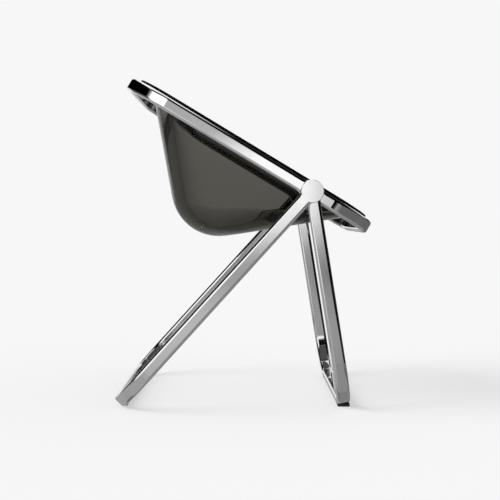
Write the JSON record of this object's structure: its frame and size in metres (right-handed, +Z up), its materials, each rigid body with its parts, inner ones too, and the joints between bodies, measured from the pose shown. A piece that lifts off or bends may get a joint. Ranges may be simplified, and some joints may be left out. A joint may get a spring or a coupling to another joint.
{
  "type": "folding armchair",
  "caption": "Folding armchair: U-shaped leg frames and a seat ring of polished bar turn on one hinge line, with a deep smoked bucket seat hung in the ring.",
  "frame": {"origin": "on the floor, in the middle of the box round the open chair", "axes": "+X towards the chair's front, +Y to the sitter's left along the hinge line, +Z up"},
  "size_m": [0.5566, 0.66, 0.7128],
  "materials": {
    "polished_bar": "polished",
    "polished_cap": "polished",
    "smoked_shell": "smoked clear acrylic, gloss",
    "gasket_rubber": "matte",
    "glide_rubber": "matte",
    "hinge_steel": "turned",
    "bearing_plastic": "moulded"
  },
  "bodies": {
    "front_legs": {"front_leg_frame": "polished_bar", "front_stop_pin_left": "hinge_steel", "front_stop_pin_right": "hinge_steel", "hinge_axle_left": "hinge_steel", "hinge_axle_right": "hinge_steel", "axle_nut_left": "hinge_steel", "axle_nut_right": "hinge_steel", "outer_washer_left": "bearing_plastic", "outer_washer_right": "bearing_plastic", "inner_washer_left": "bearing_plastic", "inner_washer_right": "bearing_plastic", "front_glide_left": "glide_rubber", "front_glide_right": "glide_rubber", "front_glide_screws": "hinge_steel"},
    "rear_legs": {"rear_leg_frame": "polished_bar", "rear_bush_left": "bearing_plastic", "rear_bush_right": "bearing_plastic", "hinge_cap_left": "polished_cap", "hinge_cap_right": "polished_cap", "rear_glide_left": "glide_rubber", "rear_glide_right": "glide_rubber", "rear_glide_screws": "hinge_steel"},
    "seat": {"seat_ring": "polished_bar", "seat_shell": "smoked_shell", "rim_gasket": "gasket_rubber", "seat_bush_left": "bearing_plastic", "seat_bush_right": "bearing_plastic", "seat_stop_pin_left": "hinge_steel", "seat_stop_pin_right": "hinge_steel"}
  },
  "joints": [
    {"name": "leg_fold", "type": "hinge", "parent": "rear_legs", "child": "front_legs", "pos_m": [0.14325, 0, 0.464], "axis": [0, 1, 0], "range_deg": [0, 51.1]},
    {"name": "seat_fold", "type": "hinge", "parent": "front_legs", "child": "seat", "pos_m": [0.14325, 0, 0.464], "axis": [0, 1, 0], "range_deg": [0, 49.8]}
  ]
}
